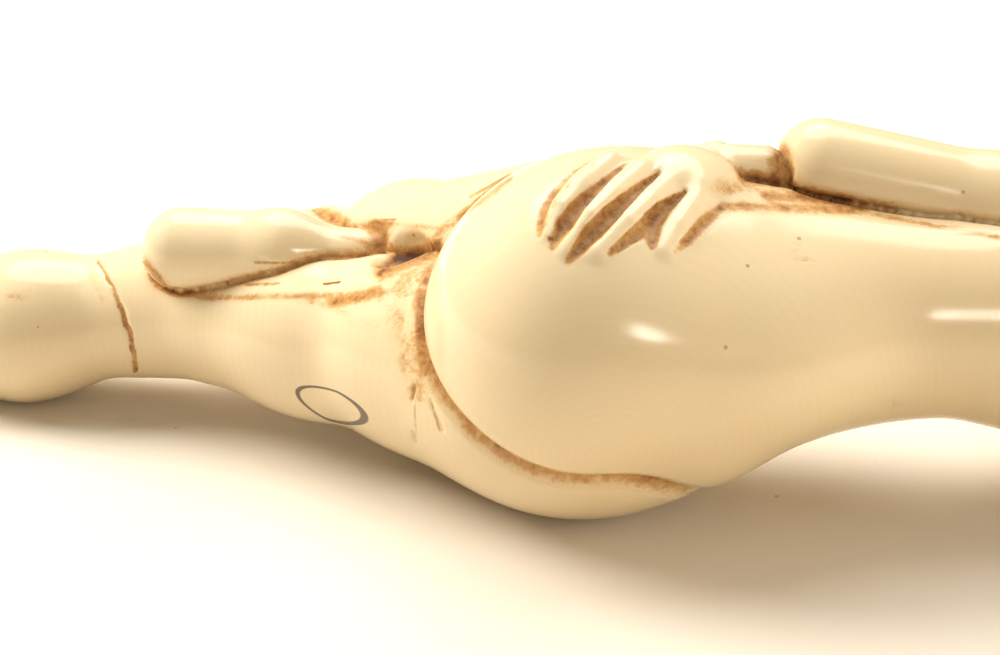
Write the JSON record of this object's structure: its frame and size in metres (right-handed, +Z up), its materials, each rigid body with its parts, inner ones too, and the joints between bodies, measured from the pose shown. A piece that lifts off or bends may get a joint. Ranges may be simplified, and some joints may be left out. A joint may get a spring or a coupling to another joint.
{
  "type": "reclining carved figure",
  "caption": "Small carved ivory figure of a reclining woman lying on her side, one hand on the hip, head resting on the other hand.",
  "frame": {"origin": "centre of the length and depth of the bounding box, at the flat underside the figure rests on", "axes": "+X from the feet to the head, +Y the side that the face and belly look to, +Z up"},
  "size_m": [0.155, 0.0528, 0.0349],
  "materials": {
    "ivory": "polished aged ivory, satin gloss, brown stain in the cuts"
  },
  "bodies": {
    "root": {"figure": "ivory"}
  },
  "joints": []
}
